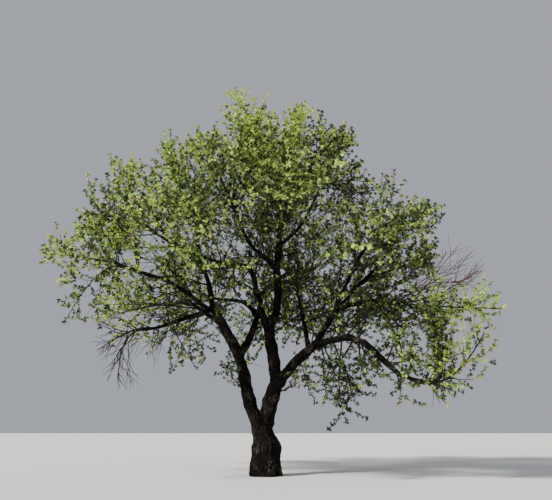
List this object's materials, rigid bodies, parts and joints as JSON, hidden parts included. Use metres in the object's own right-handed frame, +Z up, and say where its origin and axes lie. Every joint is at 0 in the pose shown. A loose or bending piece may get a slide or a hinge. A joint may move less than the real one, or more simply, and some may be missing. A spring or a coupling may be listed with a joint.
{
  "type": "service tree",
  "caption": "Broad open-crowned service tree in young leaf: a short stout trunk forks into stems and long crooked boughs with leafy twigs and a few bare ones.",
  "frame": {"origin": "middle of the flat cut under the trunk, at ground level", "axes": "+Z up along the trunk, X across the widest side of the crown to the viewer's right, +Y away from the viewer"},
  "size_m": [15.3115, 11.8813, 13.4885],
  "materials": {
    "bark": "dark furrowed bark, matte",
    "leaves": "young yellow-green leaves, matte",
    "bare_twigs": "bare brown twigs, matte"
  },
  "bodies": {
    "root": {"trunk": "bark", "left_stem": "bark", "centre_stem": "bark", "mid_left_limb": "bark", "left_arch_bough": "bark", "right_bough": "bark", "right_low_bough": "bark", "right_droop_bough": "bark", "right_up_limb": "bark", "right_long_bough": "bark", "right_high_bough": "bark", "right_top_bough": "bark", "right_front_bough": "bark", "back_right_bough": "bark", "leader_left": "bark", "leader_top": "bark", "front_bough": "bark", "upper_right_bough": "bark", "left_crown_bough": "bark", "upper_left_bough": "bark", "left_long_bough": "bark", "bare_bough": "bark", "left_back_bough": "bark", "back_left_bough": "bark", "back_bough": "bark", "top_left": "leaves", "top_right": "leaves", "top_back": "leaves", "top_front": "leaves", "upper_front_left": "leaves", "upper_left": "leaves", "upper_back_left": "leaves", "upper_left_outer": "leaves", "left_mid_front": "leaves", "left_far": "leaves", "left_mid": "leaves", "left_low_far": "leaves", "bare_high": "bare_twigs", "bare_low": "bare_twigs", "left_inner_front": "leaves", "centre_front": "leaves", "upper_front_right": "leaves", "right_front": "leaves", "right_mid_front": "leaves", "upper_right": "leaves", "upper_right_outer": "leaves", "right_mid": "leaves", "right_far": "leaves", "dead_twigs": "bare_twigs", "right_low_far": "leaves", "right_low_mid": "leaves", "right_low_up": "leaves", "right_under": "leaves", "back_right": "leaves", "upper_back_right": "leaves", "back_mid": "leaves", "back_low": "leaves", "back_left": "leaves", "left_back": "leaves", "left_inner_low": "leaves"}
  },
  "joints": []
}
